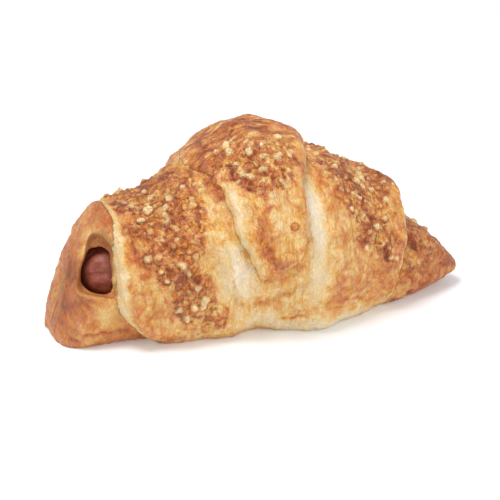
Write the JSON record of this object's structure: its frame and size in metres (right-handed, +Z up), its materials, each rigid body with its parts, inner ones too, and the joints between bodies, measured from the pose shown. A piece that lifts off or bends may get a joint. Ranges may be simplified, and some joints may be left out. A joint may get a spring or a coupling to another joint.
{
  "type": "sausage croissant",
  "caption": "Croissant of laminated dough rolled round a frankfurter that shows in a window at one end, baked with grated cheese on its crown.",
  "frame": {"origin": "on the surface it rests on, under the middle of its bounding box", "axes": "+Z up; +X along the roll, from the open end with the sausage towards the pinched tail; -Y is the front, where the tongue of dough hangs down"},
  "size_m": [0.1554, 0.0868, 0.0701],
  "materials": {
    "baked_dough": "golden brown baked laminated dough with an egg-wash sheen, pale in its folds and edges, with browned cheese on it",
    "sausage_skin": "cooked frankfurter skin, red-brown, softly glossy and puckered at its end"
  },
  "bodies": {
    "root": {"dough": "baked_dough", "sausage": "sausage_skin"}
  },
  "joints": []
}
